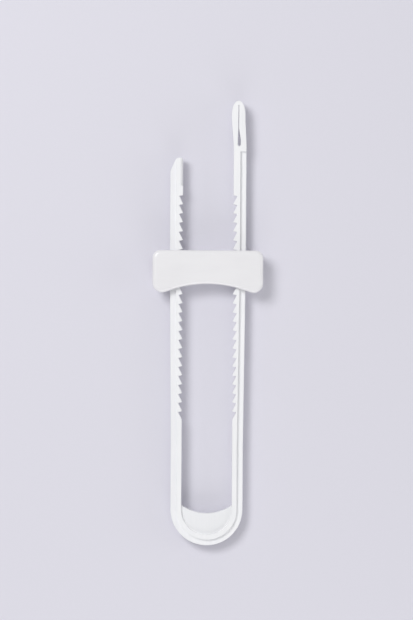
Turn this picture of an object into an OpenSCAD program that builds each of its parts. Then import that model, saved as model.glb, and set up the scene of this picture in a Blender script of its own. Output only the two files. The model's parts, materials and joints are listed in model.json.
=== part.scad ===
// Sliding cabinet safety lock. A toothed U-shaped bar is threaded through two door
// handles, and a slider that spans both of its arms is pushed up against them. Two
// sprung side buttons carry the pawls that hold the slider.
// The lock lies on the slider's rear face: +Z is the front, +Y runs along the arms to
// their open ends, and +X is the side of the long arm. The origin is under the middle.

/* [Bar] */
// Overall length, from the outside of the bend to the tip of the long arm
bar_length = 210; // [200:1:240]
// Width of each arm beside the bend
arm_width = 5.05; // [4.8:0.05:5.4]
// How much wider each arm gets along its toothed part
arm_swell = 0.9; // [0.2:0.1:1.2]
// Height above the bend's centre where the arms start to widen
swell_start = 30; // [20:1:60]
// Height above the bend's centre where they reach full width
swell_end = 115; // [90:1:130]
// Thickness of the bar from back to front
bar_thick = 5.2; // [4.8:0.1:6]
// Width of the low flange along the bar's outer edge
flange_width = 2.8; // [2.2:0.1:3.2]
// Thickness of the low flange
flange_thick = 3.5; // [3:0.1:4]
// Thickness of the web that fills the bend
web_thick = 3.8; // [2.4:0.1:4.4]
// Height of the web's upper corners above the bend's centre
web_rise = 1.9; // [0:0.1:4]
// Depth of the hollow in the web's upper edge
web_dip = 3.8; // [2:0.1:6]

/* [Teeth] */
// Number of teeth on each arm
tooth_count = 25; // [17:1:26]
// Distance from one tooth to the next
tooth_pitch = 4.25; // [4:0.05:4.5]
// Depth of the notches
tooth_depth = 1.75; // [1.5:0.05:1.9]
// How far a tooth's holding face leans down towards its root
tooth_lean = 0.4; // [0:0.05:0.6]
// Flat left on the tip of each tooth
tooth_land = 0.3; // [0.1:0.05:0.6]
// Plain length of the short arm beyond its first tooth
lead_in = 17.6; // [14:0.1:24]
// Tooth, counted from the open ends, that the slider is shown locked behind
rest_tooth = 9; // [5:1:14]

/* [Arm ends] */
// How much shorter the short arm is than the long one
short_drop = 27; // [25:1:32]
// How much the short arm narrows to its end, on its outer edge
short_narrow = 2.7; // [2:0.1:3.2]
// Radius of the curve between that slanted edge and the end
short_curve = 1.8; // [1.2:0.1:2.2]
// Length of the slanted edge along the arm
short_curve_length = 6.2; // [5:0.1:7.5]
// Radius of the curve that leads into the slanted edge
short_blend = 4; // [2:0.5:6]
// Rounding of the corner between its end and its inner edge
short_round = 0.6; // [0.2:0.1:1]
// Size of the bevel on the short arm's front inner edge
lead_bevel = 0.7; // [0.3:0.1:1]
// Length of that bevel, from the end of the arm
lead_bevel_length = 13.2; // [8:0.1:16]
// Length of the long arm's head, which is thick right across
head_length = 23.9; // [22:0.1:26]
// Distance from the head's widest place to its tip
head_nose = 6.2; // [4:0.1:9]
// How far the head swells inwards at its widest place
head_bulge = 1; // [0.4:0.1:1.6]
// How far the head's outer edge draws in at the same place
head_tuck = 0.6; // [0:0.1:1]
// Width of the slit in the head at its lower end
slit_width = 1.4; // [1.2:0.1:2]
// Width of the slit along its upper part
slit_neck = 0.3; // [0.25:0.05:0.8]
// Distance from the head's foot to the lower end of the slit
slit_foot = 2.6; // [2:0.1:5]
// Length over which the slit keeps its full width
slit_straight = 2.2; // [1:0.1:4]
// Length over which it then narrows
slit_taper = 5.2; // [4:0.1:7]
// How far the slit lies inwards of the middle of the arm
slit_side = 0.45; // [0:0.05:0.8]
// How much further inwards its narrow upper part lies
slit_lean = 0.3; // [0:0.05:0.5]
// Solid plastic between the slit and the tip
slit_cap = 2.1; // [1.5:0.1:3]

/* [Slider] */
// Width of the slider's face
slider_width = 52.2; // [51.6:0.1:56]
// How far the arms' outer edges lie inside the slider's two sides
side_reach = 8.2; // [7.8:0.1:9]
// Height of the slider's face over the two lobes
slider_height = 20; // [19.6:0.1:22]
// Height of the arch in the face's lower edge
arch_rise = 4.1; // [3:0.1:4.4]
// Radius of the face's upper corners
top_corner = 3.6; // [3.2:0.1:4.4]
// Radius of the two lobes
lobe_radius = 4.6; // [4.4:0.1:5]
// Thickness of the face plate at its rim
face_thick = 3.4; // [3:0.1:3.6]
// Width of the rounding round the face
face_edge = 1.8; // [1.5:0.1:2.6]
// Depth of the rounding round the face
face_drop = 1.6; // [1:0.1:2]
// How far the face plate overhangs the casing behind it
overhang = 0.8; // [0.4:0.1:1]
// Wall in front of the mechanism
front_wall = 2; // [1.8:0.1:2.4]
// Wall behind the mechanism
rear_wall = 1.8; // [1.6:0.1:2.4]
// Thickness of the casing's side walls
side_wall = 1.5; // [1.2:0.1:1.6]
// Rounding of the casing's rear edge
rear_edge = 1; // [0.5:0.1:1.4]
// Depth of the groove where the two covers meet
seam = 0.25; // [0.1:0.05:0.4]

/* [Buttons] */
// How far each button travels
press_travel = 1.9; // [1.6:0.1:1.9]
// Height of each button along the arms
button_height = 8.4; // [7.6:0.1:8.4]
// How far the buttons sit above the middle of the slider
button_offset = 1.3; // [1.3:0.1:1.5]
// Thickness of the two straps that join pawl and button round the arm
strap_thick = 1.5; // [1.2:0.1:2]
// Thickness of the button's shoulder behind the side wall
shoulder_thick = 1; // [0.8:0.1:1]
// How far the button stands out of the side wall
button_proud = 2.4; // [2.2:0.1:2.5]
// Bulge of the button's outer face
button_bulge = 0.5; // [0.2:0.1:0.8]
// Width of the block that carries the pawl
block_width = 5; // [4.6:0.1:5.6]
// Gap between the pawl's tip and the root of the notch
pawl_tip_gap = 0.35; // [0.3:0.05:0.6]
// Distance from the slider's middle up to the face that the pawl holds
pawl_height = 2; // [1.8:0.1:2.2]
// Width of the grooves on the button
grip_width = 0.6; // [0.4:0.1:0.8]
// Distance between the grooves
grip_pitch = 1.6; // [1.4:0.1:1.8]

/* [Springs and screws] */
// Outside radius of the springs
spring_radius = 1.7; // [1.6:0.05:1.8]
// Radius of the spring wire
wire_radius = 0.2; // [0.15:0.01:0.22]
// Number of turns in each spring
spring_turns = 6; // [5:1:6]
// Depth of the spring pocket in the pawl's block
pocket_depth = 3; // [2.4:0.1:3.2]
// Thickness of the post between the two springs
post_thick = 2.4; // [2:0.1:2.8]
// Radius of the screw shank
screw_radius = 0.9; // [0.8:0.05:1]
// Radius of the screw head
screw_head_radius = 1.8; // [1.6:0.1:1.9]
// Thickness of the screw head
screw_head_thick = 1.1; // [0.9:0.1:1.2]
// Length of the screw under its head
screw_length = 8.6; // [8:0.1:9]
// Radius of the bosses that the screws enter
boss_radius = 2.2; // [2:0.1:2.2]
// Radius of the pegs that line up the two covers
peg_radius = 0.9; // [0.8:0.05:1]
// Height of the pegs above the joint of the covers
peg_height = 2; // [1.5:0.1:2.4]

/* [Clearances] */
// Gap between a button and the casing that guides it
run_gap = 0.2; // [0.15:0.05:0.25]
// Gap round the arms where they pass through the slider
arm_clear = 0.3; // [0.2:0.05:0.3]
// Gap between a pawl and the notch that it sits in
pawl_gap = 0.15; // [0.1:0.05:0.2]
// Gap round a screw or peg in its hole
fit_gap = 0.05; // [0.03:0.01:0.08]
// Gap between the wire of a spring and the walls of its seat
seat_gap = 0.1; // [0.05:0.05:0.2]

/* [Hidden] */
$fn = 96;
cut = 0.5; // overrun of every cut past the surface that it opens

// Bar, measured from the centre of its bend. The slider's width sets how far apart its arms lie.
half_gap = slider_width / 2 - side_reach - arm_swell - arm_width;
arm_gap = 2 * half_gap;
bend_radius = half_gap + arm_width;
ridge_radius = bend_radius - flange_width;
tip_y = bar_length - bend_radius;
short_y = tip_y - short_drop;
head_y = tip_y - head_length;
first_tooth_y = short_y - lead_in;
arm_outer = bend_radius + arm_swell;
ridge_outer = arm_outer - flange_width;
web_edge_radius = (half_gap * half_gap + web_dip * web_dip) / (2 * web_dip);
web_edge_y = web_rise - web_dip + web_edge_radius;
bend_y = bend_radius - bar_length / 2; // where the bend's centre lies on the lock
head_steps = 8;
nose_steps = 20;
curve_steps = 8;

// Depths, from the rear face to the front
strap_z = rear_wall + run_gap;
bar_z = strap_z + strap_thick + arm_clear;
front_strap_z = bar_z + bar_thick + arm_clear;
front_inner_z = front_strap_z + strap_thick + run_gap;
slider_thick = front_inner_z + front_wall;
plate_z = slider_thick - face_thick;
seam_z = bar_z + bar_thick / 2;
axis_z = (strap_z + front_strap_z + strap_thick) / 2;

// Slider, measured from the middle of its face
slider_y = bend_y + tooth_y(rest_tooth - 1) - pawl_height;
half_width = slider_width / 2;
half_height = slider_height / 2;
lobe_x = half_width - lobe_radius;
lobe_y = lobe_radius - half_height;
arch_radius = (lobe_x * lobe_x + (lobe_radius - arch_rise) ^ 2 - lobe_radius ^ 2) / (2 * arch_rise);
arch_y = arch_rise - half_height - arch_radius;
arch_angle = atan2(lobe_y - arch_y, lobe_x);
corner_steps = 8;
lobe_steps = 12;
arch_steps = 24;
edge_steps = 6;
plate_bevel = 0.3 * overhang;

// Buttons, measured from the middle of the slider
shoulder_in = arm_outer + arm_clear + press_travel;
shoulder_out = shoulder_in + shoulder_thick;
wall_in = shoulder_out + run_gap;
wall_out = wall_in + side_wall;
button_low = button_offset - button_height / 2;
button_top = button_offset + button_height / 2;
block_out = half_gap - 0.5 * tooth_depth + pawl_tip_gap;
block_in = block_out - block_width;
pawl_out = half_gap + tooth_depth - pawl_tip_gap;
nose_z = strap_z + strap_thick;
nose_top_z = plate_z - run_gap;
bay_gap = 1.5 * run_gap; // room round the button in its bay
tower_x = wall_in;
guide_length = 0.8 * block_width;
post_height = 0.7 * button_height;
spigot_length = 0.6 * pocket_depth;

// Springs, screws and pegs
spring_from = post_thick / 2 + seat_gap;
spring_to = block_in + pocket_depth - seat_gap;
coil_radius = spring_radius - wire_radius;
rings_per_turn = 8;
screw_x = lobe_x;
screw_y = lobe_y;
screw_sink = screw_head_thick + fit_gap + seat_gap;
peg_x = wall_out + 0.4 * peg_radius;
peg_y = half_height - overhang - 1.9 * peg_radius;

// Height of a tooth's holding face above the bend's centre, counted from the open ends
function tooth_y(i) = first_tooth_y - i * tooth_pitch;

function arc(centre, radius, from, to, steps) =
    [for (i = [0:steps])
        let (a = from + (to - from) * i / steps)
        centre + radius * [cos(a), sin(a)]];

function flipped(points) = [for (p = points) [-p.x, p.y]];

function backwards(points) = [for (i = [len(points) - 1:-1:0]) points[i]];

function eased(t) = t * t * (3 - 2 * t);

// One edge of the long arm's head, from the foot up to its widest place
function head_edge(from, to) =
    [for (i = [1:head_steps - 1]) [
        from + (to - from) * eased(i / head_steps),
        head_y + (tip_y - head_nose - head_y) * i / head_steps,
    ]];

// The rounded nose of the head, a half ellipse from its outer edge over to its inner one
function head_arc(outer, inner) =
    [for (i = [0:nose_steps]) [
        (outer + inner) / 2 + (outer - inner) / 2 * cos(180 * i / nose_steps),
        tip_y - head_nose + head_nose * sin(180 * i / nose_steps),
    ]];

// The end of the short arm, on the +X side: its outer edge slants in and turns over to the end
function short_end() =
    let (
        slant = atan(short_narrow / short_curve_length),
        lead = short_blend * tan(slant / 2),
        turn = short_curve * tan((90 - slant) / 2)
    )
    concat(
        arc([arm_outer - short_blend, short_y - short_curve_length - lead], short_blend,
            0, slant, curve_steps),
        arc([arm_outer - short_narrow - turn, short_y - short_curve], short_curve,
            slant, 90, curve_steps)
    );

// The toothed inner edge of one arm, on the +X side, from the open end down
function toothed_edge() =
    [for (i = [0:tooth_count - 1]) each [
        [half_gap, tooth_y(i)],
        [half_gap + tooth_depth, tooth_y(i) - tooth_lean],
        [half_gap, tooth_y(i) - tooth_pitch + tooth_land],
    ]];

module bar_outline() {
    circle(bend_radius);
    polygon(concat(
        [[bend_radius, 0], [bend_radius, swell_start], [arm_outer, swell_end], [arm_outer, head_y]],
        head_edge(arm_outer, arm_outer - head_tuck),
        head_arc(arm_outer - head_tuck, half_gap - head_bulge),
        backwards(head_edge(half_gap, half_gap - head_bulge)),
        [[half_gap, head_y], [half_gap, short_y], [-half_gap, short_y]],
        backwards(flipped(short_end())),
        [[-arm_outer, swell_end], [-bend_radius, swell_start], [-bend_radius, 0]]
    ));
}

// The open space between the arms, down to the hollow edge of the web.
// At its open end it takes the sharp corner off the short arm.
module gap_outline() {
    low_y = web_rise - web_dip - cut;
    corner = [-half_gap - short_round, short_y - short_round];
    difference() {
        polygon(concat(
            [[half_gap, short_y + cut]],
            toothed_edge(),
            [[half_gap, low_y], [-half_gap, low_y]],
            backwards(flipped(toothed_edge())),
            arc(corner, short_round, 0, 90, curve_steps),
            [[corner.x, short_y + cut]]
        ));
        difference() {
            translate([-arm_gap, low_y - cut]) square([2 * arm_gap, 2 * web_dip + 2 * cut]);
            translate([0, web_edge_y]) circle(web_edge_radius);
        }
    }
}

// Everything inside the outer edge of the raised ridge, and the whole of the head
module ridge_outline() {
    circle(ridge_radius);
    polygon([
        [ridge_radius, 0], [ridge_radius, swell_start], [ridge_outer, swell_end], [ridge_outer, head_y],
        [arm_outer + cut, head_y], [arm_outer + cut, tip_y + cut], [-ridge_outer, tip_y + cut],
        [-ridge_outer, swell_end], [-ridge_radius, swell_start], [-ridge_radius, 0],
    ]);
}

module flange_cut() {
    difference() {
        translate([-2 * bend_radius, -2 * bend_radius])
            square([4 * bend_radius, bar_length + 2 * bend_radius]);
        ridge_outline();
    }
}

module web_pocket() {
    circle(half_gap);
    translate([-half_gap, 0]) square([arm_gap, web_rise + cut]);
}

// The slit that makes the head springy, so that it snaps through the slider once
module slit_outline() {
    x = (arm_outer + half_gap) / 2 - slit_side;
    y = head_y + slit_foot + slit_width / 2;
    neck_x = x - slit_lean;
    neck_y = y + slit_straight + slit_taper;
    translate([x, y]) circle(slit_width / 2);
    polygon([
        [x - slit_width / 2, y], [x + slit_width / 2, y], [x + slit_width / 2, y + slit_straight],
        [neck_x + slit_neck / 2, neck_y], [neck_x + slit_neck / 2, tip_y - slit_cap],
        [neck_x - slit_neck / 2, tip_y - slit_cap], [neck_x - slit_neck / 2, neck_y],
        [x - slit_width / 2, y + slit_straight],
    ]);
}

module lead_bevel_cut() {
    translate([-half_gap, short_y + cut, bar_thick]) rotate([90, 0, 0])
        linear_extrude(cut + lead_bevel_length)
            polygon([[cut, cut], [-lead_bevel, cut], [-lead_bevel, 0], [0, -lead_bevel], [cut, -lead_bevel]]);
}

module u_bar() {
    color("#f4f5f8")
    translate([0, bend_y, bar_z])
    difference() {
        linear_extrude(bar_thick) difference() {
            bar_outline();
            gap_outline();
        }
        translate([0, 0, flange_thick]) linear_extrude(bar_thick) flange_cut();
        translate([0, 0, web_thick]) linear_extrude(bar_thick) web_pocket();
        translate([0, 0, -cut]) linear_extrude(bar_thick + 2 * cut) slit_outline();
        lead_bevel_cut();
    }
}

// The slider's outline, drawn in by an even amount all round
function slider_outline(inset) = concat(
    arc([half_width - top_corner, half_height - top_corner], top_corner - inset, 0, 90, corner_steps),
    arc([top_corner - half_width, half_height - top_corner], top_corner - inset, 90, 180, corner_steps),
    arc([-lobe_x, lobe_y], lobe_radius - inset, 180, 360 - arch_angle, lobe_steps),
    [for (i = [1:arch_steps - 1])
        let (a = 180 - arch_angle - (180 - 2 * arch_angle) * i / arch_steps)
        [0, arch_y] + (arch_radius + inset) * [cos(a), sin(a)]],
    arc([lobe_x, lobe_y], lobe_radius - inset, 180 + arch_angle, 360, lobe_steps)
);

// A solid through outlines of equal point count; each level is [inset, z].
// Its two ends are fans round a middle point, because the outline is hollow at the arch.
module moulding(levels) {
    rings = [for (level = levels) slider_outline(level[0])];
    n = len(rings[0]);
    last = len(levels) - 1;
    foot = (last + 1) * n;
    polyhedron(
        points = concat(
            [for (k = [0:last]) for (p = rings[k]) [p.x, p.y, levels[k][1]]],
            [[0, 0, levels[0][1]], [0, 0, levels[last][1]]]
        ),
        faces = concat(
            [for (i = [0:n - 1]) [foot, i, (i + 1) % n]],
            [for (k = [0:last - 1]) for (i = [0:n - 1])
                [k * n + i, (k + 1) * n + i, (k + 1) * n + (i + 1) % n, k * n + (i + 1) % n]],
            [for (i = [0:n - 1]) [foot + 1, last * n + (i + 1) % n, last * n + i]]
        )
    );
}

// Levels of an edge rounded by a quarter ellipse, from the side up to the flat
function rounded_edge(inset, width, z, drop) =
    [for (i = [0:edge_steps]) [
        inset + width * (1 - cos(90 * i / edge_steps)),
        z - drop + drop * sin(90 * i / edge_steps),
    ]];

module at_both_sides() {
    children();
    mirror([1, 0, 0]) children();
}

// The recess in the casing's side that leaves a finger room to reach the button
module button_bay() {
    translate([wall_out, button_low - bay_gap, -cut])
        cube([half_width, button_height + 2 * bay_gap, plate_z + cut]);
}

module button_opening() {
    translate([wall_in - cut, button_low - run_gap, nose_z - run_gap])
        cube([side_wall + 2 * cut, button_height + 2 * run_gap, plate_z - nose_z + run_gap]);
}

module cavity_outline() {
    intersection() {
        polygon(slider_outline(overhang + side_wall));
        translate([-tower_x, -slider_height]) square([2 * tower_x, 2 * slider_height]);
    }
}

// The stepped opening that an arm runs through, in the X-Z plane
module arm_passage() {
    translate([0, slider_height, 0]) rotate([90, 0, 0]) linear_extrude(2 * slider_height)
        polygon([
            [half_gap - arm_clear, bar_z - arm_clear],
            [arm_outer + arm_clear, bar_z - arm_clear],
            [arm_outer + arm_clear, bar_z + flange_thick + arm_clear],
            [ridge_outer + arm_clear, bar_z + flange_thick + arm_clear],
            [ridge_outer + arm_clear, front_strap_z],
            [half_gap - arm_clear, front_strap_z],
        ]);
}

// Pads on the casing's walls, above and below a pawl block, that keep it square as it slides
module guides(z, height) {
    low = arch_rise - half_height + overhang;
    translate([block_in, low, z]) cube([guide_length, button_low - run_gap - low, height]);
    translate([block_in, button_top + run_gap, z])
        cube([guide_length, half_height - button_top - run_gap, height]);
}

// The hollow of a cover between two depths, with its guide pads and screw bosses left standing
module hollow(from_z, to_z) {
    difference() {
        translate([0, 0, from_z]) linear_extrude(to_z - from_z) cavity_outline();
        at_both_sides() {
            guides(from_z - cut, to_z - from_z + 2 * cut);
            translate([screw_x, screw_y, from_z - cut])
                cylinder(r = boss_radius, h = to_z - from_z + 2 * cut);
        }
    }
}

module front_cover() {
    color("#ebe9ec")
    translate([0, slider_y, 0])
    difference() {
        moulding(concat(
            [[overhang + seam, seam_z], [overhang, seam_z + seam], [overhang, plate_z]],
            [[plate_bevel, plate_z], [0, plate_z + plate_bevel]],
            rounded_edge(0, face_edge, slider_thick, face_drop)
        ));
        hollow(seam_z - cut, front_inner_z);
        at_both_sides() {
            button_bay();
            button_opening();
            arm_passage();
            translate([screw_x, screw_y, seam_z - cut])
                cylinder(r = screw_radius + fit_gap, h = screw_sink + screw_length - seam_z + cut + seat_gap);
            translate([peg_x, peg_y, seam_z - cut])
                cylinder(r = peg_radius + fit_gap, h = peg_height + cut + seat_gap);
        }
    }
}

module rear_cover() {
    color("#ebe9ec")
    translate([0, slider_y, 0]) {
        difference() {
            moulding(concat(
                [for (i = [edge_steps:-1:0]) [
                    overhang + rear_edge * (1 - cos(90 * i / edge_steps)),
                    rear_edge * (1 - sin(90 * i / edge_steps)),
                ]],
                [[overhang, seam_z - seam], [overhang + seam, seam_z]]
            ));
            difference() {
                hollow(rear_wall, seam_z + cut);
                spring_post();
            }
            at_both_sides() {
                button_bay();
                button_opening();
                arm_passage();
                translate([screw_x, screw_y, -cut])
                    cylinder(r = screw_radius + fit_gap, h = seam_z + 2 * cut);
                translate([screw_x, screw_y, -cut])
                    cylinder(r = screw_head_radius + fit_gap, h = screw_sink + cut);
            }
        }
        translate([0, 0, seam_z]) linear_extrude(front_inner_z - run_gap - seam_z) post_outline();
        at_both_sides() translate([peg_x, peg_y, seam_z]) cylinder(r = peg_radius, h = peg_height);
        at_both_sides() translate([post_thick / 2, button_offset, axis_z]) rotate([0, 90, 0])
            cylinder(r = coil_radius - wire_radius - 2 * seat_gap, h = spigot_length);
    }
}

module post_outline() {
    translate([-post_thick / 2, button_offset - post_height / 2]) square([post_thick, post_height]);
}

module spring_post() {
    linear_extrude(slider_thick) post_outline();
}

// The part of the button that a finger presses, with a bulged outer face
module nose_outline() {
    reach = button_proud - button_bulge;
    bulge_radius = ((button_height / 2) ^ 2 + button_bulge ^ 2) / (2 * button_bulge);
    intersection() {
        translate([wall_in - shoulder_thick, button_low])
            square([shoulder_thick + side_wall + button_proud, button_height]);
        translate([wall_out + reach + button_bulge - bulge_radius, button_offset]) circle(bulge_radius);
    }
}

// The pawl tooth fills its notch but for an even gap
module pawl_outline() {
    lean = tooth_lean / tooth_depth;
    slope = (tooth_pitch - tooth_land - tooth_lean) / tooth_depth;
    root = [half_gap + tooth_depth, pawl_height - tooth_lean];
    upper_gap = pawl_gap * sqrt(1 + lean * lean);
    lower_gap = pawl_gap * sqrt(1 + slope * slope);
    upper = function (x) root.y + (root.x - x) * lean - upper_gap;
    lower = function (x) root.y - (root.x - x) * slope + lower_gap;
    base = block_out;
    polygon([
        [base - cut, upper(base)], [base - cut, lower(base)], [base, lower(base)],
        [pawl_out, lower(pawl_out)], [pawl_out, upper(pawl_out)], [base, upper(base)],
    ]);
}

// The right-hand button: a frame round the arm, with its pawl on the inner side
module button() {
    frame_top_z = front_strap_z + strap_thick;
    difference() {
        union() {
            translate([0, 0, nose_z]) linear_extrude(nose_top_z - nose_z) nose_outline();
            translate([shoulder_in, button_low, strap_z])
                cube([shoulder_thick, button_height, frame_top_z - strap_z]);
            for (z = [strap_z, front_strap_z])
                translate([block_in, button_low, z])
                    cube([shoulder_out - block_in, button_height, strap_thick]);
            translate([block_in, button_low, strap_z])
                cube([block_width, button_height, frame_top_z - strap_z]);
            translate([0, 0, bar_z]) linear_extrude(bar_thick) pawl_outline();
        }
        translate([block_in - cut, button_offset, axis_z]) rotate([0, 90, 0])
            cylinder(r = spring_radius + seat_gap, h = pocket_depth + cut);
        for (i = [-1:1])
            translate([
                wall_out + button_proud - button_bulge,
                button_offset + i * grip_pitch - grip_width / 2,
                nose_z - cut,
            ])
                cube([button_proud, grip_width, nose_top_z - nose_z + 2 * cut]);
    }
}

module right_button() {
    color("#f0eff2") translate([0, slider_y, 0]) button();
}

module left_button() {
    color("#f0eff2") translate([0, slider_y, 0]) mirror([1, 0, 0]) button();
}

// Centre of the spring wire a given number of turns along, on the +X side
function coil_point(turn) = [
    spring_from + wire_radius + (spring_to - spring_from - 2 * wire_radius) * turn / spring_turns,
    coil_radius * cos(360 * turn),
    coil_radius * sin(360 * turn),
];

// A tube of six sides swept along the helix
module coil() {
    sides = 6;
    count = spring_turns * rings_per_turn;
    rise = (spring_to - spring_from - 2 * wire_radius) / spring_turns;
    points = [for (k = [0:count]) let (
            turn = k / rings_per_turn,
            outward = [0, cos(360 * turn), sin(360 * turn)],
            run = [rise, -2 * PI * coil_radius * sin(360 * turn), 2 * PI * coil_radius * cos(360 * turn)],
            along = run / norm(run),
            across = cross(along, outward)
        ) for (s = [0:sides - 1]) let (a = 360 * s / sides)
            coil_point(turn) + wire_radius * (outward * cos(a) + across * sin(a))];
    polyhedron(points = points, faces = concat(
        [[for (s = [0:sides - 1]) s]],
        [for (k = [0:count - 1]) for (s = [0:sides - 1]) let (
                a = k * sides + s,
                b = k * sides + (s + 1) % sides
            ) each [[a, a + sides, b], [b, a + sides, b + sides]]],
        [[for (s = [sides - 1:-1:0]) count * sides + s]]
    ));
}

module right_spring() {
    color("silver") translate([0, slider_y + button_offset, axis_z]) coil();
}

module left_spring() {
    color("silver") translate([0, slider_y + button_offset, axis_z]) mirror([1, 0, 0]) coil();
}

module cover_screw() {
    drive = 0.3 * screw_head_radius;
    difference() {
        union() {
            translate([0, 0, seat_gap]) cylinder(r = screw_head_radius, h = screw_head_thick);
            translate([0, 0, seat_gap]) cylinder(r = screw_radius, h = screw_head_thick + screw_length);
        }
        for (size = [[4 * drive, drive], [drive, 4 * drive]])
            translate([-size.x / 2, -size.y / 2, seat_gap - cut])
                cube([size.x, size.y, cut + screw_head_thick / 2]);
    }
}

module cover_screws() {
    color("silver") translate([0, slider_y, 0])
        at_both_sides() translate([screw_x, screw_y, 0]) cover_screw();
}

// Least gap between one turn of a spring and another, measured on the wire's centre points
coil_gap = min([
    for (i = [0:spring_turns * rings_per_turn - rings_per_turn / 2])
    for (k = [i + rings_per_turn / 2:spring_turns * rings_per_turn])
        norm(coil_point(k / rings_per_turn) - coil_point(i / rings_per_turn))
]) - 2 * wire_radius;
echo(coil_gap = coil_gap);

u_bar();
front_cover();
rear_cover();
left_button();
right_button();
left_spring();
right_spring();
cover_screws();
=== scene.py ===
# %% [markdown]
# A sliding cabinet lock, dressed for a studio picture.
# The lock is a U-shaped toothed bar of white plastic and a slider that spans both of its arms.
# Its measured model is loaded as a fixed frame. This script gives it the looks of the real
# thing: edges rounded as a mould leaves them, round spring wire, threaded screws, and a finish
# for each material. Nothing here changes a size, because the frame is what was measured.
# What the start-up file holds, such as its cube, is removed first.

import json
import math

import bmesh
import bpy
from mathutils import Matrix, Vector

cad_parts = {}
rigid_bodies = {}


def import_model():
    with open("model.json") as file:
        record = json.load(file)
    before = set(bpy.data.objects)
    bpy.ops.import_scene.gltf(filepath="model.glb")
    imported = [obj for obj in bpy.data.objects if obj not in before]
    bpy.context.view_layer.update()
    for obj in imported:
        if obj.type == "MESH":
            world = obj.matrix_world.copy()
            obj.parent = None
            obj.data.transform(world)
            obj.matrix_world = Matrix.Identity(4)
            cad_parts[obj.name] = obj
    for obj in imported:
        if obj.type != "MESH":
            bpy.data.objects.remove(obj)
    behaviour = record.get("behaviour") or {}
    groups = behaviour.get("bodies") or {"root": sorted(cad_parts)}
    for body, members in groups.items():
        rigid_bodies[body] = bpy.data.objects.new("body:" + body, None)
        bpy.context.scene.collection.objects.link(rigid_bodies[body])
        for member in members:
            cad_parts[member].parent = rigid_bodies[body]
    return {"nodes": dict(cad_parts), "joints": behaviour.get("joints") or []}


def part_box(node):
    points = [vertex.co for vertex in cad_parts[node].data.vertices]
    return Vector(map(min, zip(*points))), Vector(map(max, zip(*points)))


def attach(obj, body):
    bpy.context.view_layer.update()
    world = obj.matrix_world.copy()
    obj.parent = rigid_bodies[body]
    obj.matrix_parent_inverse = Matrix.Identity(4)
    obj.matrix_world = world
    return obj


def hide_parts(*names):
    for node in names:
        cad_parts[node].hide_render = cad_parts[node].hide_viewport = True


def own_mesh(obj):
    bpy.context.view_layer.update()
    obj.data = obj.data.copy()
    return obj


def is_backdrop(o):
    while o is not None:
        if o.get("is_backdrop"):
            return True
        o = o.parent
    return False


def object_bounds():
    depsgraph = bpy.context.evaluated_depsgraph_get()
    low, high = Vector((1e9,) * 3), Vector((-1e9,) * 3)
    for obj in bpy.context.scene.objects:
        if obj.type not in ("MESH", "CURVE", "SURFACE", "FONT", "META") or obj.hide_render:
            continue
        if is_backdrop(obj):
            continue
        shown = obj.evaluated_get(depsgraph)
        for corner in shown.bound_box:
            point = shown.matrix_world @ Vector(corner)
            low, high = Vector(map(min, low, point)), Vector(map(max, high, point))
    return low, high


for left_over in list(bpy.data.objects):
    bpy.data.objects.remove(left_over)
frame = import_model()
cad_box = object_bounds()
MM = 0.001
print("nodes:", sorted(frame["nodes"]))
print("box in mm:", [[round(v / MM, 1) for v in corner] for corner in cad_box])

# %% [markdown]
# Where things are. Most places that the looks need, such as the axes of the screws or the height
# of the bar, can be read from the boxes of the loaded pieces. Reading them is safer than typing
# them, because they stay right when the measured model changes. Three lengths of the bar can't
# be read from its box and are typed: the radius of its bend, half the gap between its arms, and
# how far the short arm ends below the long one.

# %% Read the places that the finishes and details need
bar_low, bar_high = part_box("u_bar")
button_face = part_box("right_button")[1].x
spring_low, spring_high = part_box("right_spring")
screws_low, screws_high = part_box("cover_screws")

BEND_RADIUS = 17 * MM
HALF_GAP = 11.95 * MM
SHORT_ARM_DROP = 27 * MM
bend_y = bar_low.y + BEND_RADIUS
short_end = bar_high.y - SHORT_ARM_DROP
head_radius = (screws_high.y - screws_low.y) / 2
screw_x = screws_high.x - head_radius
screw_y = screws_low.y + head_radius
spring_radius = (spring_high.y - spring_low.y) / 2
spring_y = spring_low.y + spring_radius
spring_z = spring_low.z + spring_radius
print("middle of the bend in mm: y", round(bend_y / MM, 2))
print("end of the short arm in mm: y", round(short_end / MM, 2))
print("screw axes in mm: x", round(screw_x / MM, 2), "y", round(screw_y / MM, 2))
print("spring axis in mm: y", round(spring_y / MM, 2), "z", round(spring_z / MM, 2))

# %% [markdown]
# Shader maths. A finish is a small calculation over the surface: take a place, make a pattern,
# turn it into a colour or a roughness. In Blender that is a web of nodes, which is hard to read
# as code. So one small class stands for a socket, and the signs + - * / on it add the Math
# nodes. The reflected forms, such as __rsub__, make 1 - mask work too.

# %% A class for anything that changes over a surface
class Varying:
    def __init__(self, finish, socket):
        self.finish = finish
        self.socket = socket

    def math(self, operation, first, second=0.0):
        return self.finish.node("ShaderNodeMath", {"operation": operation}, {0: first, 1: second})

    def __add__(self, other):
        return self.math("ADD", self, other)

    def __radd__(self, other):
        return self.math("ADD", other, self)

    def __sub__(self, other):
        return self.math("SUBTRACT", self, other)

    def __rsub__(self, other):
        return self.math("SUBTRACT", other, self)

    def __mul__(self, other):
        return self.math("MULTIPLY", self, other)

    def __rmul__(self, other):
        return self.math("MULTIPLY", other, self)

    def __truediv__(self, other):
        return self.math("DIVIDE", self, other)

    def __rtruediv__(self, other):
        return self.math("DIVIDE", other, self)

    def __pow__(self, other):
        return self.math("POWER", self, other)

    def __abs__(self):
        return self.math("ABSOLUTE", self)


# %% [markdown]
# A finish is one material. Numbers that are the same all over, such as how much the plastic
# bends light, are set on the shader's own sockets. What changes over the surface is linked.
# Every node comes from one method, which sets the node's own settings first and its sockets
# after, because some settings change which sockets a node has. The world has nodes too, so the
# class takes any node tree and the shader that ends it. When a finish is done, the number of
# its nodes is printed, which shows how much the short code has made.

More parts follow.
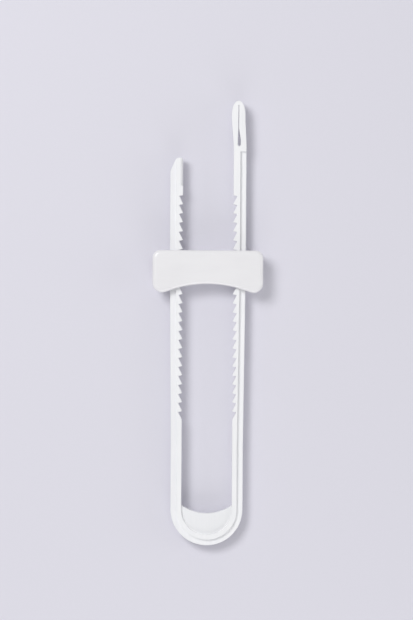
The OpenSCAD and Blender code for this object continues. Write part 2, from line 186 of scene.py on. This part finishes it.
# %% A class for one web of nodes, and functions that start and end a material
class Finish:
    def __init__(self, tree, shader, **even):
        self.tree = tree
        self.shader = tree.nodes[shader]
        for socket, value in even.items():
            self.shader.inputs[socket.replace("_", " ")].default_value = value

    def node(self, kind, settings=None, sockets=None, output=0):
        made = self.tree.nodes.new(kind)
        for name, value in (settings or {}).items():
            setattr(made, name, value)
        for name, value in (sockets or {}).items():
            if isinstance(value, Varying):
                self.tree.links.new(value.socket, made.inputs[name])
            else:
                made.inputs[name].default_value = value
        return Varying(self, made.outputs[output])

    def link(self, name, value):
        self.tree.links.new(value.socket, self.shader.inputs[name])


def new_finish(name, **even):
    material = bpy.data.materials.new(name)
    material.use_nodes = True
    finish = Finish(material.node_tree, "Principled BSDF", **even)
    finish.material = material
    return finish


def finished(finish):
    print(f"{finish.material.name}: {len(finish.tree.nodes)} nodes")
    return finish.material


# %% [markdown]
# Patterns. Texture coordinates of the kind called Object are metres on the lock itself, so a
# pattern keeps its real scale and moves with its piece. Plastic flows along a bar when it is
# moulded and leaves streaks that are long one way and narrow the other: that is plain noise on
# coordinates that were stretched. The three numbers given to noise say how often it changes in
# a metre along X, Y and Z: 45 gives clouds of about 2 cm, and 5200 a grain of 0.2 mm. A mask is
# eased from 0 to 1 between two limits. A colour is mixed by the Mix node, because Math turns it
# grey. A pattern is raised into a bump, whose depth is a real one too.

# %% Helpers for patterns
def place_on(finish):
    return finish.node("ShaderNodeTexCoord", output="Object")


def part_of(finish, direction, axis):
    return finish.node("ShaderNodeSeparateXYZ", sockets={0: direction}, output=axis)


def stretched(finish, place, per_metre):
    settings = {"operation": "MULTIPLY"}
    return finish.node("ShaderNodeVectorMath", settings, {0: place, 1: per_metre})


def noise(finish, place, per_metre, detail=2.0, rough=0.5):
    coordinates = stretched(finish, place, per_metre)
    sockets = {"Vector": coordinates, "Scale": 1.0, "Detail": detail, "Roughness": rough}
    return finish.node("ShaderNodeTexNoise", sockets=sockets)


def eased(finish, value, low, high):
    settings = {"interpolation_type": "SMOOTHSTEP"}
    sockets = {"Value": value, "From Min": low, "From Max": high}
    return finish.node("ShaderNodeMapRange", settings, sockets)


def mixed(finish, share, first, second):
    colours = [c if isinstance(c, Varying) else (*c, 1) for c in (first, second)]
    sockets = {0: share, 6: colours[0], 7: colours[1]}
    return finish.node("ShaderNodeMix", {"data_type": "RGBA"}, sockets, output=2)


def raised(finish, height, depth):
    sockets = {"Height": height, "Distance": depth, "Strength": 1.0}
    return finish.node("ShaderNodeBump", sockets=sockets)


# %% [markdown]
# The bar's plastic. The bar is moulded in a white nylon that stays springy. Close up it isn't
# one white: it carries faint flow streaks along the arms, and the mould's spark-eroded walls
# leave a fine grain. The thin web in the bend lets some light through, and that is painted
# shade here: its colour is mixed a shade greyer. The slider rubs a narrow band on the ridge,
# which gets shinier there. All of it is slight, as on a new lock.

# %% Finish of the bar
NYLON_DEEP = (0.845, 0.852, 0.872)
NYLON_LIGHT = (0.885, 0.888, 0.9)
# Painted shade for the thin web in the bend.
NYLON_PAINTED_SHADE = (0.8, 0.808, 0.83)
NYLON_RUBBED = (0.83, 0.83, 0.84)
WEB_FADE = 1.2 * MM
TEETH_FADE = (-50 * MM, -30 * MM)


def bar_plastic():
    finish = new_finish("white nylon of the bar", IOR=1.53)
    place = place_on(finish)
    along = part_of(finish, place, 1)
    streaks = noise(finish, place, (900, 45, 900), detail=3.0)
    clouds = noise(finish, place, (70, 70, 70))
    tint = eased(finish, streaks * 0.55 + clouds * 0.45, 0.3, 0.7)
    solid = mixed(finish, tint, NYLON_DEEP, NYLON_LIGHT)
    # Painted shade: inside the bend the web's colour is mixed a shade greyer, to stand in for the
    # light that passes through the thin web.
    across = part_of(finish, place, 0)
    from_bend = (across ** 2 + (along - bend_y) ** 2) ** 0.5
    web_painted_shade = 1 - eased(finish, from_bend, HALF_GAP - WEB_FADE, HALF_GAP)
    white = mixed(finish, 0.4 * web_painted_shade, solid, NYLON_PAINTED_SHADE)

    facing = part_of(finish, finish.node("ShaderNodeNewGeometry", output="Normal"), 2)
    on_front = eased(finish, facing, 0.85, 0.98)
    toothed = eased(finish, along, *TEETH_FADE)
    scuffs = eased(finish, noise(finish, place, (2600, 18, 2600), detail=4.0), 0.52, 0.72)
    rubbed = on_front * toothed * scuffs
    finish.link("Base Color", mixed(finish, rubbed * 0.35, white, NYLON_RUBBED))

    grain = noise(finish, place, (5200, 5200, 5200), detail=1.0)
    waves = noise(finish, place, (260, 120, 260))
    finish.link("Roughness", 0.36 + 0.1 * (streaks - 0.5) + 0.06 * grain - 0.1 * rubbed)
    finish.link("Normal", raised(finish, 0.3 * grain + waves, 0.03 * MM))
    return finished(finish)


nylon = bar_plastic()

# %% [markdown]
# The covers' plastic. The slider's two covers are moulded in a harder white plastic with a
# polished mould, so they are smoother and glossier than the bar. A polished face still isn't
# flat: the plastic shrinks a little over the screw bosses behind it, which leaves two shallow
# dimples that only the gloss shows. The rear cover gets a coarser, duller grain.

# %% Distance from the nearer screw, and the finish of the covers
COVER_DEEP = (0.795, 0.788, 0.806)
COVER_LIGHT = (0.822, 0.816, 0.832)
DIMPLE = (0.5 * MM, 3.6 * MM)


def from_screw(finish, place):
    across = abs(part_of(finish, place, 0)) - screw_x
    upward = part_of(finish, place, 1) - screw_y
    return (across ** 2 + upward ** 2) ** 0.5


def cover_plastic(name, roughness, grain_depth):
    finish = new_finish(name, IOR=1.52, Coat_Roughness=0.12)
    place = place_on(finish)
    clouds = noise(finish, place, (45, 45, 45), detail=3.0)
    flow = noise(finish, place, (60, 220, 60), detail=2.0)
    tint = eased(finish, 0.5 * clouds + 0.5 * flow, 0.32, 0.68)
    finish.link("Base Color", mixed(finish, tint, COVER_DEEP, COVER_LIGHT))

    sunk = eased(finish, from_screw(finish, place), *DIMPLE)
    grain = noise(finish, place, (4600, 4600, 4600), detail=1.0)
    waves = noise(finish, place, (190, 190, 190), detail=1.0)
    finish.link("Roughness", roughness + 0.08 * (clouds - 0.5) + 0.05 * grain)
    finish.link("Coat Weight", 0.25 + 0.1 * clouds)
    finish.link("Normal", raised(finish, grain_depth * grain + waves + 2.0 * sunk, 0.03 * MM))
    return finished(finish)


polished = cover_plastic("polished white of the front cover", roughness=0.27, grain_depth=0.15)
grained = cover_plastic("grained white of the rear cover", roughness=0.4, grain_depth=0.5)

# %% [markdown]
# The buttons' plastic. Fingers press the buttons, so their mould is eroded to a fine matt
# surface that doesn't slip. It is a little greyer in the grooves than on the tops of the ribs.

# %% Finish of the buttons
BUTTON_DEEP = (0.85, 0.85, 0.862)
BUTTON_LIGHT = (0.882, 0.88, 0.888)
GROOVE_GREY = (0.74, 0.73, 0.72)
GROOVE_DEPTHS = (0.9 * MM, 0.3 * MM)


def button_plastic():
    finish = new_finish("matt white of the buttons", IOR=1.5)
    place = place_on(finish)
    clouds = noise(finish, place, (160, 160, 160), detail=3.0)
    across = abs(part_of(finish, place, 0))
    on_ribs = eased(finish, across, *(button_face - depth for depth in GROOVE_DEPTHS))
    white = mixed(finish, eased(finish, clouds, 0.35, 0.65), BUTTON_DEEP, BUTTON_LIGHT)
    # The colour is a little greyer away from the tops of the ribs, in the grooves.
    finish.link("Base Color", mixed(finish, (1 - on_ribs) * 0.12, white, GROOVE_GREY))
    grain = noise(finish, place, (3400, 3400, 3400), detail=2.0, rough=0.6)
    finish.link("Roughness", 0.5 + 0.1 * (clouds - 0.5) - 0.06 * on_ribs)
    finish.link("Normal", raised(finish, grain, 0.05 * MM))
    return finished(finish)


matt = button_plastic()

# %% [markdown]
# The metals. Spring wire is drawn through a die, which leaves fine lines and a thin oil film
# that varies the shine. The screws are zinc plated: a bluish grey metal with a faint warm
# mottle, and rings on the head from the tool that formed it.

# %% Finishes of the spring wire and the screws
WIRE_DEEP = (0.55, 0.55, 0.57)
WIRE_LIGHT = (0.68, 0.68, 0.68)
ZINC_BLUISH = (0.62, 0.63, 0.67)
ZINC_WARM = (0.7, 0.68, 0.62)


def spring_steel():
    finish = new_finish("bright drawn spring wire", Metallic=1.0)
    place = place_on(finish)
    film = noise(finish, place, (500, 500, 500), detail=3.0)
    lines = noise(finish, place, (9000, 1500, 1500), detail=2.0)
    shade = eased(finish, film, 0.3, 0.7)
    finish.link("Base Color", mixed(finish, shade, WIRE_DEEP, WIRE_LIGHT))
    finish.link("Roughness", 0.2 + 0.12 * film + 0.08 * lines)
    finish.link("Normal", raised(finish, lines, 0.008 * MM))
    return finished(finish)


def screw_steel():
    finish = new_finish("zinc plate on the screws", Metallic=1.0)
    place = place_on(finish)
    outward = finish.node("ShaderNodeCombineXYZ", sockets={0: from_screw(finish, place)})
    rings = noise(finish, outward, (9000, 1, 1))
    mottle = eased(finish, noise(finish, place, (900, 900, 900), detail=3.0), 0.35, 0.65)
    finish.link("Base Color", mixed(finish, mottle, ZINC_BLUISH, ZINC_WARM))
    finish.link("Roughness", 0.26 + 0.14 * mottle + 0.08 * rings)
    finish.link("Normal", raised(finish, rings, 0.01 * MM))
    return finished(finish)


drawn = spring_steel()
plated = screw_steel()

# %% [markdown]
# New pieces. Everything that is seen on the lock is a new mesh. It rides one of the bodies that
# the lock's joints move, and the measured pieces that it stands in for are hidden. Most meshes
# here are made as a row of rings of points, with a skin of faces from ring to ring and a lid at
# both ends, which always gives a closed solid.

# %% Helpers for new pieces
def placed(name, data):
    thing = bpy.data.objects.new(name, data)
    bpy.context.scene.collection.objects.link(thing)
    return thing


def new_piece(name, mesh, body, slot, *nodes):
    piece = placed(name, mesh)
    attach(piece, body)
    if nodes:
        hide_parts(*nodes)
    return piece


def mesh_from(work, name):
    mesh = bpy.data.meshes.new(name)
    work.to_mesh(mesh)
    work.free()
    return mesh


def skin(work, rings):
    for low, high in zip(rings, rings[1:]):
        for i in range(len(low)):
            j = (i + 1) % len(low)
            work.faces.new((low[i], low[j], high[j], high[i]))
    work.faces.new(list(reversed(rings[0])))
    work.faces.new(rings[-1])


# %% [markdown]
# Shading. Smooth shading blends the light over the small faces of a round, so that they look
# like one curve. It would also blend the light at the rim of every large flat face. So edges
# that bend by more than a limit, in degrees, stay sharp, and a Weighted Normal modifier lets
# the large faces decide: they stay flat, and only the small ones at the edges shade round.

# %% Give a piece its material and its shading
SMOOTH_BELOW = 32


def finish_mesh(piece, material, angle=SMOOTH_BELOW):
    mesh = piece.data
    if mesh.has_custom_normals:
        mesh.attributes.remove(mesh.attributes["custom_normal"])
    mesh.materials.clear()
    mesh.materials.append(material)
    mesh.shade_smooth()
    mesh.set_sharp_from_angle(angle=math.radians(angle))
    flat = piece.modifiers.new("flat faces stay flat", "WEIGHTED_NORMAL")
    flat.weight = 100
    flat.keep_sharp = True


# %% [markdown]
# Cuts. What a tool takes away from a solid is easiest to make the same way: with the tool's own
# shape and a Boolean modifier, which subtracts it. The cut shape is then kept as a plain mesh,
# and the block and its tools are removed.

# %% Cut tools out of a mesh
def carved(mesh, cutters):
    block = placed("block", mesh)
    for cutter in cutters:
        modifier = block.modifiers.new("cut", "BOOLEAN")
        modifier.object = cutter
        modifier.solver = "EXACT"
    evaluated = block.evaluated_get(bpy.context.evaluated_depsgraph_get())
    result = bpy.data.meshes.new_from_object(evaluated)
    for thing in (block, *cutters):
        bpy.data.objects.remove(thing)
    return result


# %% [markdown]
# Edges. A measured solid has knife edges, and no moulding has: the mould's corners are cut by
# a round tool and the plastic shrinks away from them. Rounding each edge by a tenth of a
# millimetre gives the thin bright lines that make plastic look like plastic. It could be done
# by a Bevel modifier, but a loaded piece must stay as it is. So its mesh is copied, its flat
# faces are joined up again, and the sharp edges of the copy are bevelled. Points closer than
# the weld distance are one point, and faces within half a degree are one flat face. Edges that
# bend by more than 50 degrees are sharp.

# %% A moulding with softened edges, from a measured piece
WELD_DISTANCE = 0.002 * MM
FLAT_WITHIN = 0.5
SHARP_ABOVE = 50


def moulding(name, node, body, slot, material, radius=0.0, cutters=()):
    mesh = frame["nodes"][node].data.copy()
    mesh.name = name
    work = bmesh.new()
    work.from_mesh(mesh)
    bmesh.ops.remove_doubles(work, verts=work.verts, dist=WELD_DISTANCE)
    flat = math.radians(FLAT_WITHIN)
    bmesh.ops.dissolve_limit(work, angle_limit=flat, verts=work.verts, edges=work.edges)
    sharp = [e for e in work.edges if e.calc_face_angle(0) > math.radians(SHARP_ABOVE)]
    if radius:
        bmesh.ops.bevel(
            work, geom=sharp, offset=radius, offset_type="OFFSET", segments=2, profile=0.5,
            affect="EDGES", clamp_overlap=False, loop_slide=True,
        )
    open_edges = sum(not e.is_manifold for e in work.edges)
    work.to_mesh(mesh)
    work.free()
    if cutters:
        mesh = carved(mesh, cutters)
    piece = new_piece(name, mesh, body, slot, node)
    finish_mesh(piece, material)
    print(f"{name}: {len(sharp)} sharp edges, {len(mesh.polygons)} faces, {open_edges} edges open")
    return piece


# %% [markdown]
# The lead-in. The slider goes on over the open ends of the arms, so the front inner edge of the
# short arm's end is rounded off well, to lead the pawl past it. The measured model has only a
# small flat bevel there. A tool with the negative of the round, a quarter of an ellipse, takes
# the rest away. It cuts after the edges were softened, so that the bevel doesn't meet the thin
# ends of the cut.

# %% Make the tool that rounds the lead-in
LEAD_LENGTH = 13.2 * MM
LEAD_WIDTH = 1.6 * MM
LEAD_DEPTH = 2.4 * MM
LEAD_STEPS = 9
OVERRUN = 1 * MM


def lead_in_tool():
    outline = []
    for i in range(LEAD_STEPS + 1):
        angle = math.pi / 2 * i / LEAD_STEPS
        outline.append((
            LEAD_WIDTH * (math.sin(angle) - 1) - HALF_GAP,
            bar_high.z + LEAD_DEPTH * (math.cos(angle) - 1),
        ))
    outline += [
        (OVERRUN - HALF_GAP, bar_high.z - LEAD_DEPTH),
        (OVERRUN - HALF_GAP, bar_high.z + OVERRUN),
        (-LEAD_WIDTH - HALF_GAP, bar_high.z + OVERRUN),
    ]
    work = bmesh.new()
    ends = (short_end - LEAD_LENGTH, short_end + OVERRUN)
    skin(work, [[work.verts.new((x, y, z)) for x, z in outline] for y in ends])
    bmesh.ops.recalc_face_normals(work, faces=work.faces)
    return placed("lead_in_tool", mesh_from(work, "lead_in_tool"))


lead_in = lead_in_tool()
lead_size = [round(v / MM, 1) for v in (LEAD_WIDTH, LEAD_DEPTH, LEAD_LENGTH)]
print("lead-in's width, depth and length in mm:", lead_size)

# %% [markdown]
# The mouldings. Bar and buttons get rounded edges. The bar's rounding has to be less than half
# of the narrow slit in its head. The covers were measured with their roundings, so their copies
# are only joined up, which lets them shade smoothly.

# %% Soften the bar and the buttons, and join up the covers
BAR_EDGE = 0.14 * MM
BUTTON_EDGE = 0.12 * MM

moulding("toothed_bar", "u_bar", "bar", "bar_plastic", nylon, BAR_EDGE, [lead_in])
moulding("front_moulding", "front_cover", "slider", "cover_plastic", polished)
moulding("rear_moulding", "rear_cover", "slider", "cover_plastic", grained)
for side in ("left", "right"):
    name = f"{side}_press_button"
    moulding(name, f"{side}_button", f"{side}_button", "button_plastic", matt, BUTTON_EDGE)

# %% [markdown]
# Marks of the mould. Pins push a moulding out of its mould and leave small round pads on its
# rear face, and the plastic enters through a gate, which leaves a rough stub where it was cut
# off. They are low discs. A profile lists pairs of radius and height above the rear face, and
# each pair becomes one ring. The pins' profile is in shares of a pin's radius and height, the
# gate's in millimetres.

# %% Discs on the rear of the bar
PIN_RADIUS = 1.3 * MM
PIN_HEIGHT = 0.12 * MM
PIN_PROFILE = [(0.86, -1), (0.97, -0.8), (1, -0.3), (1, 1)]
PIN_SIDES = 32
PIN_PLACES = [
    (0, -96), (-14.9, -60), (14.9, -60), (-15.2, -14), (15.2, -14), (-15.4, 62), (15.4, 62),
]
GATE_PROFILE = [(0.5, -0.3), (0.62, -0.16), (0.8, 0), (0.8, 0.12)]
GATE_SIDES = 20
GATE_PLACE = (0, -101.5)


def disc(work, profile, sides, place):
    middle = Vector((place[0] * MM, place[1] * MM, 0))
    skin(work, [
        [
            work.verts.new(middle + Vector((
                radius * math.cos(2 * math.pi * i / sides),
                radius * math.sin(2 * math.pi * i / sides), height,
            )))
            for i in range(sides)
        ]
        for radius, height in profile
    ])


work = bmesh.new()
rear = bar_low.z
pad = [(share * PIN_RADIUS, rear + up * PIN_HEIGHT) for share, up in PIN_PROFILE]
for place in PIN_PLACES:
    disc(work, pad, PIN_SIDES, place)
stub = [(radius * MM, rear + up * MM) for radius, up in GATE_PROFILE]
disc(work, stub, GATE_SIDES, GATE_PLACE)
marks = new_piece("mould_marks", mesh_from(work, "mould_marks"), "bar", "bar_plastic")
finish_mesh(marks, nylon)
print("mould_marks:", len(PIN_PLACES), "pin pads and one gate stub")

# %% [markdown]
# The springs. Each is round wire wound into a compression spring. The measured model has open
# turns from end to end, but a real one has closed turns at its ends, so that it stands square
# in its seat. Along the wire the pitch starts at hardly more than the wire's thickness, opens
# up within half a turn, and closes again. A ring of points is carried along that line.

# %% Wind one spring
WIRE_RADIUS = 0.2 * MM
WIRE_POINTS = 10
ACTIVE_TURNS = 6.0
CLOSED_TURNS = 0.8
OPENING_TURNS = 0.5
CLOSED_PITCH = 2.06 * WIRE_RADIUS
POINTS_PER_TURN = 36


def pitch_share(turn, turns):
    from_end = min(turn, turns - turn)
    t = min(1.0, max(0.0, (from_end - CLOSED_TURNS + OPENING_TURNS / 2) / OPENING_TURNS))
    return t * t * (3 - 2 * t)


def wound_wire(name, from_x, to_x, sense):
    turns = ACTIVE_TURNS + 2 * CLOSED_TURNS
    count = int(turns * POINTS_PER_TURN)
    shares = [pitch_share(turns * i / count, turns) for i in range(count + 1)]
    length = to_x - from_x - 2 * WIRE_RADIUS
    extra = (length - CLOSED_PITCH * turns) / (sum(shares[:-1]) * turns / count)
    radius = spring_radius - WIRE_RADIUS
    sideways = Vector((1, 0, 0))
    work = bmesh.new()
    rings = []
    along = from_x + WIRE_RADIUS
    for i in range(count + 1):
        angle = 2 * math.pi * turns * i / count
        outward = Vector((0, math.cos(angle), math.sin(angle)))
        middle = Vector((sense * along, spring_y, spring_z)) + radius * outward
        ring = []
        for k in range(WIRE_POINTS):
            around = 2 * math.pi * k / WIRE_POINTS
            offset = math.cos(around) * outward + math.sin(around) * sideways
            ring.append(work.verts.new(middle + WIRE_RADIUS * offset))
        rings.append(ring)
        along += (CLOSED_PITCH + extra * shares[i]) * turns / count
    skin(work, rings)
    bmesh.ops.recalc_face_normals(work, faces=work.faces)
    print(f"{name}: {turns:.1f} turns, open pitch {(CLOSED_PITCH + extra) / MM:.2f} mm")
    return mesh_from(work, name)


# %% [markdown]
# Seating. Each spring sits between the casing's post and the pocket of its button. The wire
# turns by 36 degrees from point to point of its ring, so a higher limit than usual lets it
# shade round.

# %% Seat both springs
WIRE_SMOOTH_BELOW = 60

travel = next(j for j in frame["joints"] if j["name"] == "right_button_press")["range_m"][1]
length = spring_high.x - spring_low.x
for side, sense in (("left", -1), ("right", 1)):
    mesh = wound_wire(f"{side}_wire_spring", spring_low.x, spring_high.x, sense)
    piece = new_piece(f"{side}_wire_spring", mesh, "slider", "spring_steel", f"{side}_spring")
    finish_mesh(piece, drawn, WIRE_SMOOTH_BELOW)
    1 - travel / length
    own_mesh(piece)
print("springs keep", round(1 - travel / length, 3), "of their length when pressed")

# %% [markdown]
# The screws. A small self-tapping screw has a flat head, a coarse thread and a blunt tip. It is
# listed as rows from the head's face to the tip, which points up. A row is a radius, a height,
# and how far the thread has grown there: not at all on the plain parts, and over one turn at
# either end of the thread. Profiles list pairs again: a share of the radius, and a height in
# millimetres from the head's face, from the head's underside, or from the tip's end.

# %% List the screw's rows
FACE_PROFILE = [(0.6, 0), (0.9, 0.02), (0.98, 0.12), (1, 0.3)]
UNDERSIDE_PROFILE = [(1, -0.12), (0.95, 0)]
TIP_PROFILE = [(0.8, -0.12), (0.55, 0)]
HEAD_THICK = 1.1 * MM
NECK_ROUND = 0.15 * MM
PLAIN_NECK = 0.4 * MM
PLAIN_TIP = 0.5 * MM
CORE_RADIUS = 0.68 * MM
CREST_RADIUS = 0.92 * MM
THREAD_PITCH = 0.8 * MM
ROWS_PER_TURN = 12


def screw_rows(low, high):
    head_top = low + HEAD_THICK
    rows = [(share * head_radius, low + up * MM, 0) for share, up in FACE_PROFILE]
    rows += [(share * head_radius, head_top + up * MM, 0) for share, up in UNDERSIDE_PROFILE]
    rows += [(CREST_RADIUS, head_top, 0), (CORE_RADIUS, head_top + NECK_ROUND, 0)]
    thread_low = head_top + PLAIN_NECK
    thread_high = high - PLAIN_TIP
    step = THREAD_PITCH / ROWS_PER_TURN
    count = int((thread_high - thread_low) / step)
    for row in range(count + 1):
        ease = min(1.0, row / ROWS_PER_TURN, (count - row) / ROWS_PER_TURN)
        rows.append((CORE_RADIUS, thread_low + row * step, ease))
    rows += [(share * CORE_RADIUS, high + up * MM, 0) for share, up in TIP_PROFILE]
    return rows


rows = screw_rows(screws_low.z, screws_high.z)
print("screw:", len(rows), "rows over", round((rows[-1][1] - rows[0][1]) / MM, 2), "mm")

# %% [markdown]
# The screw's skin. Each row becomes a ring of points, and a point moves out where the thread
# passes it, so shank and thread are one skin. The thread is thin at its crest and wide between,
# as it is on screws for plastic: each of its flanks takes 0.3 of the pitch.

# %% Turn the screw's skin
FLANK_SHARE = 0.3
SCREW_SIDES = 36


def crest(height, angle):
    phase = (height / THREAD_PITCH - angle / (2 * math.pi)) % 1.0
    return max(0.0, 1 - abs(phase - 0.5) / FLANK_SHARE)


def screw_skin(rows):
    work = bmesh.new()
    rings = []
    for radius, height, ease in rows:
        ring = []
        for i in range(SCREW_SIDES):
            angle = 2 * math.pi * i / SCREW_SIDES
            reach = radius + (CREST_RADIUS - CORE_RADIUS) * ease * crest(height, angle)
            point = (reach * math.cos(angle), reach * math.sin(angle), height)
            ring.append(work.verts.new(point))
        rings.append(ring)
    skin(work, rings)
    return mesh_from(work, "screw")


whole_screw = screw_skin(rows)
print("screw before its recess is cut:", len(whole_screw.polygons), "faces")

# %% [markdown]
# The cross recess. It is pressed into the head by a punch with two crossed blades. Each blade
# is a tapered block that starts just outside the head's face and gets shorter and thinner
# inwards, by the shares given last.

# %% Cut the cross recess
BLADE_LENGTH = 2.2 * MM
BLADE_THICK = 0.42 * MM
BLADE_DEPTH = 0.6 * MM
BLADE_OUTSIDE = 0.2 * MM
INNER_LENGTH = 0.55
INNER_THICK = 0.8


def blade(low, turned):
    work = bmesh.new()
    bmesh.ops.create_cube(work, size=1)
    for v in work.verts:
        inner = v.co.z > 0
        v.co.x *= BLADE_LENGTH * (INNER_LENGTH if inner else 1.0)
        v.co.y *= BLADE_THICK * (INNER_THICK if inner else 1.0)
        v.co.z = low + (BLADE_DEPTH if inner else -BLADE_OUTSIDE)
    if turned:
        quarter = Matrix.Rotation(math.pi / 2, 3, "Z")
        bmesh.ops.rotate(work, verts=work.verts, cent=(0, 0, 0), matrix=quarter)
    return placed("blade", mesh_from(work, "blade"))


screw_mesh = carved(whole_screw, [blade(screws_low.z, turned) for turned in (False, True)])
print("screw:", len(screw_mesh.polygons), "faces")

# %% [markdown]
# Both screws. They are one piece, because the measured model has them as one, so the mesh takes
# in the same screw twice. The thread's flanks slope by 45 degrees, so with a limit of 35 its
# crest and its foot stay crisp.

# %% Drive both screws
SCREW_SMOOTH_BELOW = 35

work = bmesh.new()
for x in (-screw_x, screw_x):
    before = len(work.verts)
    work.from_mesh(screw_mesh)
    work.verts.ensure_lookup_table()
    bmesh.ops.translate(work, verts=work.verts[before:], vec=(x, screw_y, 0))
mesh = mesh_from(work, "threaded_screws")
screws = new_piece("threaded_screws", mesh, "slider", "screw_steel", "cover_screws")
finish_mesh(screws, plated, SCREW_SMOOTH_BELOW)
print("threaded_screws:", len(mesh.polygons), "faces")

# %% [markdown]
# The floor. The lock lies on a plain pale sheet, a touch cooler than the lock, so that its white
# edges show. The sheet is far larger than the lock, and the lamps light only its middle. So it
# fades with the distance into a plain glow of the same shade as the world behind, and no horizon
# shows from low angles. Only what looks at the sheet sees the glow: it lights nothing.

# %% Pale floor
FLOOR = (0.7, 0.69, 0.76)
LIGHTER = 1.02
PALE = tuple(c * LIGHTER for c in FLOOR)
FADE_START = 0.25
FADE_END = 0.9
FLOOR_SIZE = 12
SEEING_RAYS = ("Is Camera Ray", "Is Glossy Ray", "Is Transmission Ray")


def seen_directly(finish):
    rays = [finish.node("ShaderNodeLightPath", output=ray) for ray in SEEING_RAYS]
    seeing = rays[0] + rays[1] + rays[2]
    return seeing.math("MINIMUM", seeing, 1.0)


paper = new_finish("pale paper sheet", Roughness=0.8)
place = place_on(paper)
fibres = noise(paper, place, (900, 900, 900), detail=2.0)
paper.link("Base Color", mixed(paper, fibres, FLOOR, PALE))
outward = (part_of(paper, place, 0) ** 2 + part_of(paper, place, 1) ** 2) ** 0.5
far = eased(paper, outward, FADE_START, FADE_END) * seen_directly(paper)
glow = paper.node("ShaderNodeEmission", sockets={"Color": (*PALE, 1)})
lit = Varying(paper, paper.shader.outputs[0])
faded = paper.node("ShaderNodeMixShader", sockets={0: far, 1: lit, 2: glow})
paper.tree.links.new(faded.socket, paper.tree.nodes["Material Output"].inputs["Surface"])

bpy.ops.mesh.primitive_plane_add(size=FLOOR_SIZE, location=(0, 0, 0))
floor = bpy.context.object
floor.name = "floor"
floor.data.materials.append(finished(paper))
floor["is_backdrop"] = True
print(f"floor: {FLOOR_SIZE} m wide, fades from {FADE_START} to {FADE_END} m")

# %% [markdown]
# The world. A grey world stands for the walls of the studio, whose light comes from all sides.
# What the camera and the gloss see of it is the pale background itself, the same shade as the
# far end of the sheet.

# %% World
WALLS = 0.44

world = bpy.data.worlds.new("studio")
world.use_nodes = True
bpy.context.scene.world = world
air = Finish(world.node_tree, "Background", Strength=1.0)
air.link("Color", mixed(air, seen_directly(air), (WALLS, WALLS, WALLS), PALE))
print("grey of the walls:", WALLS, "and", len(air.tree.nodes), "nodes in the world")

# %% [markdown]
# Light. In the photograph the shadows of the arms and of the slider fall to the right and down,
# so a large soft lamp stands in front of the lock, up and to the left. Every edge that looks
# down is light as well, so a wide low lamp stands for a white table below. Weak ones stand for
# the ceiling and for a white board on the right. Their strengths add up to a level at which a
# white sheet looks as white as its colour says.

# %% Lamps
def soft_lamp(name, place, size, power):
    data = bpy.data.lights.new(name, "AREA")
    data.shape = "SQUARE"
    data.size = size
    data.energy = power
    lamp = placed(name, data)
    lamp.location = place
    lamp.rotation_euler = (-Vector(place)).to_track_quat("-Z", "Y").to_euler()
    lamp.visible_camera = False
    print(f"{name}: {power} W, {Vector(place).length:.2f} m away")


soft_lamp("key lamp", (-0.461, 0.441, 0.981), size=0.44, power=6.6)
soft_lamp("table bounce", (0.1, -0.75, 0.26), size=0.7, power=2.7)
soft_lamp("ceiling bounce", (0.0, 0.95, 0.3), size=0.8, power=0.7)
soft_lamp("right fill", (0.95, 0.0, 0.3), size=0.6, power=1.4)

# %% [markdown]
# The camera. The lock stands upright in the photograph and the camera looks straight at it from
# far away, so the lock is seen from its front with hardly any perspective. The long lens and the
# distance below give the same. How many millimetres a pixel covers, where the middle of the
# picture falls on the lock, and the small roll were fitted to the outline of the lock.

# %% Camera
PICTURE_HEIGHT = 620
MM_PER_PIXEL = 0.4718
DISTANCE = 1.2
LOOKED_AT = Vector((-0.53, 6.23, 9.0)) * MM
PITCH = math.radians(0.4)
ROLL = math.radians(0.34)

lens = bpy.data.cameras.new("camera")
lens.lens = lens.sensor_width * DISTANCE / (PICTURE_HEIGHT * MM_PER_PIXEL * MM)
camera = placed("camera", lens)
turn = Matrix.Rotation(-PITCH, 4, "X") @ Matrix.Rotation(ROLL, 4, "Z")
camera.matrix_world = Matrix.Translation(LOOKED_AT + DISTANCE * turn.col[2].to_3d()) @ turn
bpy.context.scene.camera = camera
bpy.context.scene.view_settings.view_transform = "Standard"
print("lens in mm:", round(lens.lens, 1))

# %% [markdown]
# Sizes. Dressing must not make the lock any bigger, so its box is measured once more and how
# far each corner has grown is printed.

# %% Compare the sizes
seen_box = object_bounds()
grown = [
    [round((seen - cad) / MM, 3) for seen, cad in zip(*corners)]
    for corners in zip(seen_box, cad_box)
]
print("grown by in mm:", grown)
